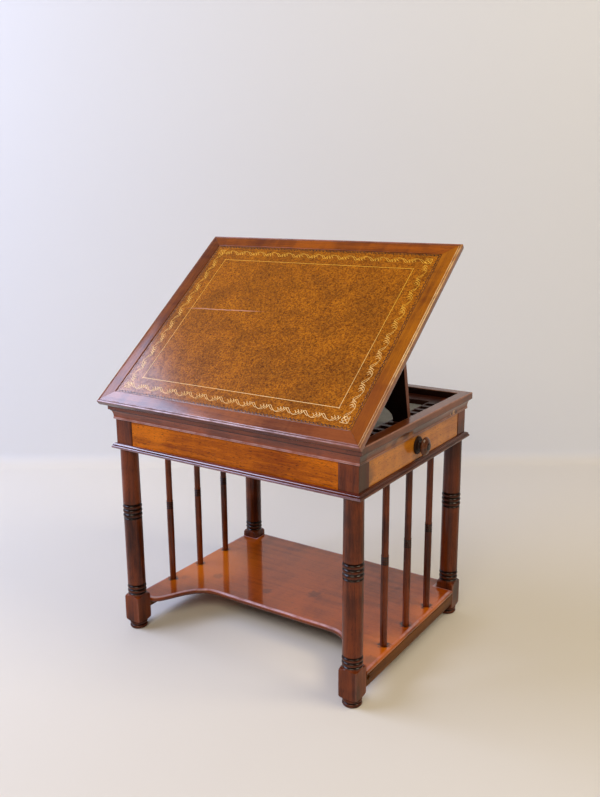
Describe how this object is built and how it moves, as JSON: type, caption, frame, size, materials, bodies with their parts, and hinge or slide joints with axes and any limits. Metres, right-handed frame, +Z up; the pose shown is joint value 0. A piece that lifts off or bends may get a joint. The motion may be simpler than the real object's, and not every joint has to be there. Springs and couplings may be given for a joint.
{
  "type": "tilting reading table",
  "caption": "Reading table with a leather-lined top that tilts on a ratcheted strut, over a case with a side drawer, turned legs, spindle sides and a low shelf.",
  "frame": {"origin": "on the floor, under the middle of the overall box with the top raised and the drawer shut", "axes": "+X to the right along the front edge, out of the drawer; +Y from front to back; +Z up"},
  "size_m": [0.6464, 0.5203, 0.8569],
  "materials": {
    "mahogany": "glossy French-polished red-brown mahogany",
    "dark_mahogany": "glossy polished dark red-brown mahogany",
    "frieze_mahogany": "glossy polished orange-brown mahogany with flecked grain",
    "drawer_mahogany": "glossy polished tan-orange mahogany",
    "shelf_mahogany": "very glossy polished red-brown mahogany",
    "secondary_wood": "plain unpolished pine",
    "leather": "mottled tan leather with a gold-tooled border",
    "baize": "matt grey-green wool baize",
    "brass": "dulled aged brass"
  },
  "bodies": {
    "case": {"leg_front_left": "mahogany", "leg_front_right": "mahogany", "leg_back_left": "mahogany", "leg_back_right": "mahogany", "frieze_rail_front": "frieze_mahogany", "frieze_rail_back": "frieze_mahogany", "frieze_rail_left": "frieze_mahogany", "drawer_rail_upper": "dark_mahogany", "drawer_rail_lower": "dark_mahogany", "rim_front": "mahogany", "rim_right": "mahogany", "rim_back": "mahogany", "rim_left": "mahogany", "base_moulding_front": "dark_mahogany", "base_moulding_right": "dark_mahogany", "base_moulding_back": "dark_mahogany", "base_moulding_left": "dark_mahogany", "well_floor": "secondary_wood", "well_baize": "baize", "well_ledge_front": "mahogany", "well_ledge_back": "mahogany", "ratchet_strip_left": "mahogany", "ratchet_strip_right": "mahogany", "drawer_runner_front": "secondary_wood", "drawer_runner_back": "secondary_wood", "shelf_board": "shelf_mahogany", "shelf_bearer_left": "mahogany", "shelf_bearer_right": "mahogany", "spindle_left_1": "mahogany", "spindle_left_2": "mahogany", "spindle_left_3": "mahogany", "spindle_right_1": "mahogany", "spindle_right_2": "mahogany", "spindle_right_3": "mahogany", "top_hinge_case_leaf_left": "brass", "top_hinge_pin_left": "brass", "top_hinge_case_leaf_right": "brass", "top_hinge_pin_right": "brass"},
    "top": {"top_rail_front": "mahogany", "top_stile_right": "mahogany", "top_rail_back": "mahogany", "top_stile_left": "mahogany", "top_core": "secondary_wood", "top_leather": "leather", "top_hinge_leaf_left": "brass", "top_hinge_leaf_right": "brass", "strut_hinge_batten": "mahogany", "strut_hinge_plate_left": "brass", "strut_hinge_plate_right": "brass"},
    "strut": {"strut_board": "mahogany", "strut_leaf_left": "brass", "strut_leaf_right": "brass"},
    "drawer": {"drawer_front": "drawer_mahogany", "drawer_side_front": "secondary_wood", "drawer_side_back": "secondary_wood", "drawer_back": "secondary_wood", "drawer_bottom": "secondary_wood", "knob_rose": "dark_mahogany", "drawer_knob": "dark_mahogany"}
  },
  "joints": [
    {"name": "top_tilt", "type": "hinge", "parent": "case", "child": "top", "pos_m": [0, -0.24745, 0.5275], "axis": [1, 0, 0], "range_deg": [-38, 0]},
    {"name": "strut_fold", "type": "hinge", "parent": "case", "child": "strut", "pos_m": [0, 0.01355, 0.5175], "axis": [1, 0, 0], "range_deg": [-102, 0]},
    {"name": "drawer_slide", "type": "slide", "parent": "case", "child": "drawer", "axis": [1, 0, 0], "range_m": [0, 0.28]}
  ],
  "couplings": [
    {"joint": "strut_fold", "follows": "top_tilt", "ratio": 2.6842}
  ]
}
